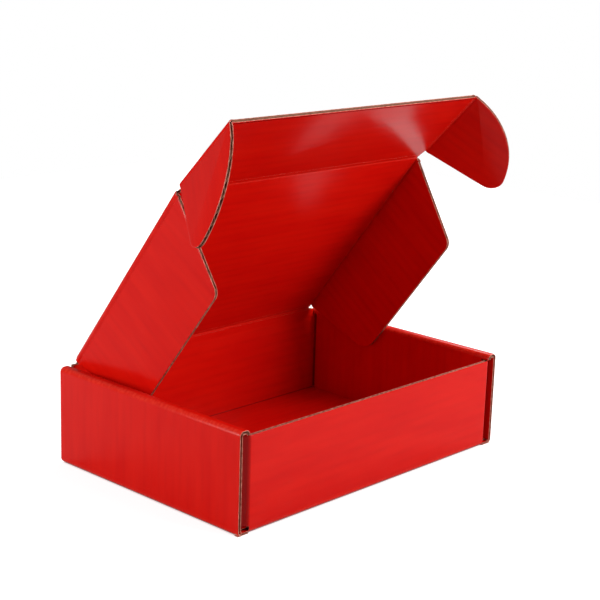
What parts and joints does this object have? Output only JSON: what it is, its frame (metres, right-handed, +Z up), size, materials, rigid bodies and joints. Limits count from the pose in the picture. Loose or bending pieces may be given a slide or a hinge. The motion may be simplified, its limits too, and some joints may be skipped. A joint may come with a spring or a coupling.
{
  "type": "corrugated mailer box",
  "caption": "Red corrugated mailer box with rolled side walls, an open hinged lid with side flaps, and a tuck flap with rounded ears.",
  "frame": {"origin": "middle of the underside of the tray", "axes": "+X right along the front wall, +Y from the front wall to the hinged back wall, +Z up"},
  "size_m": [0.2639, 0.1536, 0.2216],
  "materials": {
    "red_board": "satin"
  },
  "bodies": {
    "tray": {"tray": "red_board"},
    "lid": {"lid": "red_board"},
    "tuck_flap": {"tuck_flap": "red_board"},
    "side_flap_right": {"side_flap_right": "red_board"},
    "side_flap_left": {"side_flap_left": "red_board"},
    "ear_right": {"ear_right": "red_board"},
    "ear_left": {"ear_left": "red_board"}
  },
  "joints": [
    {"name": "lid_hinge", "type": "hinge", "parent": "tray", "child": "lid", "pos_m": [0, 0.0755, 0.0615], "axis": [-1, 0, 0], "range_deg": [-52.5, 127.5]},
    {"name": "tuck_crease", "type": "hinge", "parent": "lid", "child": "tuck_flap", "pos_m": [0, -0.01466, 0.179], "axis": [-1, 0, 0], "range_deg": [-83, 7]},
    {"name": "ear_right_crease", "type": "hinge", "parent": "tuck_flap", "child": "ear_right", "pos_m": [0.1037, -0.01466, 0.179], "axis": [0, -0.7009, 0.7133], "range_deg": [-37, 53]},
    {"name": "ear_left_crease", "type": "hinge", "parent": "tuck_flap", "child": "ear_left", "pos_m": [-0.1037, -0.01466, 0.179], "axis": [0, 0.7009, -0.7133], "range_deg": [-27, 63]},
    {"name": "side_flap_right_crease", "type": "hinge", "parent": "lid", "child": "side_flap_right", "pos_m": [0.10235, 0.0755, 0.0615], "axis": [0, -0.6088, 0.7934], "range_deg": [-16.5, 0]},
    {"name": "side_flap_left_crease", "type": "hinge", "parent": "lid", "child": "side_flap_left", "pos_m": [-0.10235, 0.0755, 0.0615], "axis": [0, 0.6088, -0.7934], "range_deg": [-10, 6.5]}
  ]
}
